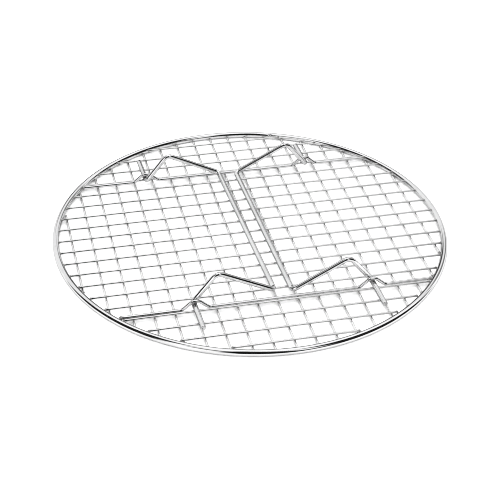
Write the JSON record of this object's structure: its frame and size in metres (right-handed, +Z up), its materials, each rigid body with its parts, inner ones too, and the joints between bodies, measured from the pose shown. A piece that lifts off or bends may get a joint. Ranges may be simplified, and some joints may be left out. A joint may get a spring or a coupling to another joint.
{
  "type": "cooling rack",
  "caption": "Round welded-wire cooling rack: a square grid in a heavier ring, with bent-wire legs that hinge under humps and fold flat against the grid.",
  "frame": {"origin": "on the table, under the centre of the rim, with the rack lying food side down", "axes": "+X along the cross wires and supports, +Y along the long wires and foot bars away from the front, +Z up, towards the side that carries the legs"},
  "size_m": [0.3018, 0.3018, 0.029],
  "materials": {
    "rim_steel": "polished stainless steel wire",
    "grid_steel": "polished stainless steel wire",
    "support_steel": "polished stainless steel wire",
    "leg_steel": "polished stainless steel wire"
  },
  "bodies": {
    "rack": {"rim": "rim_steel", "cross_wire_01": "grid_steel", "cross_wire_02": "grid_steel", "cross_wire_03": "grid_steel", "cross_wire_04": "grid_steel", "cross_wire_05": "grid_steel", "cross_wire_06": "grid_steel", "cross_wire_07": "grid_steel", "cross_wire_08": "grid_steel", "cross_wire_09": "grid_steel", "cross_wire_10": "grid_steel", "cross_wire_11": "grid_steel", "cross_wire_12": "grid_steel", "cross_wire_13": "grid_steel", "cross_wire_14": "grid_steel", "cross_wire_15": "grid_steel", "cross_wire_16": "grid_steel", "cross_wire_17": "grid_steel", "cross_wire_18": "grid_steel", "cross_wire_19": "grid_steel", "long_wire_01": "grid_steel", "long_wire_02": "grid_steel", "long_wire_03": "grid_steel", "long_wire_04": "grid_steel", "long_wire_05": "grid_steel", "long_wire_06": "grid_steel", "long_wire_07": "grid_steel", "long_wire_08": "grid_steel", "long_wire_09": "grid_steel", "long_wire_10": "grid_steel", "long_wire_11": "grid_steel", "long_wire_12": "grid_steel", "long_wire_13": "grid_steel", "long_wire_14": "grid_steel", "long_wire_15": "grid_steel", "long_wire_16": "grid_steel", "long_wire_17": "grid_steel", "long_wire_18": "grid_steel", "long_wire_19": "grid_steel", "support_front": "support_steel", "support_back": "support_steel"},
    "left_leg": {"leg_left": "leg_steel"},
    "right_leg": {"leg_right": "leg_steel"}
  },
  "joints": [
    {"name": "left_leg_fold", "type": "hinge", "parent": "rack", "child": "left_leg", "pos_m": [-0.0643, -0.002, 0.00671], "axis": [0.0305, -0.9995, 0], "range_deg": [0, 134]},
    {"name": "right_leg_fold", "type": "hinge", "parent": "rack", "child": "right_leg", "pos_m": [0.0682, -0.002, 0.00671], "axis": [-0.0227, 0.9997, 0], "range_deg": [0, 134]}
  ]
}
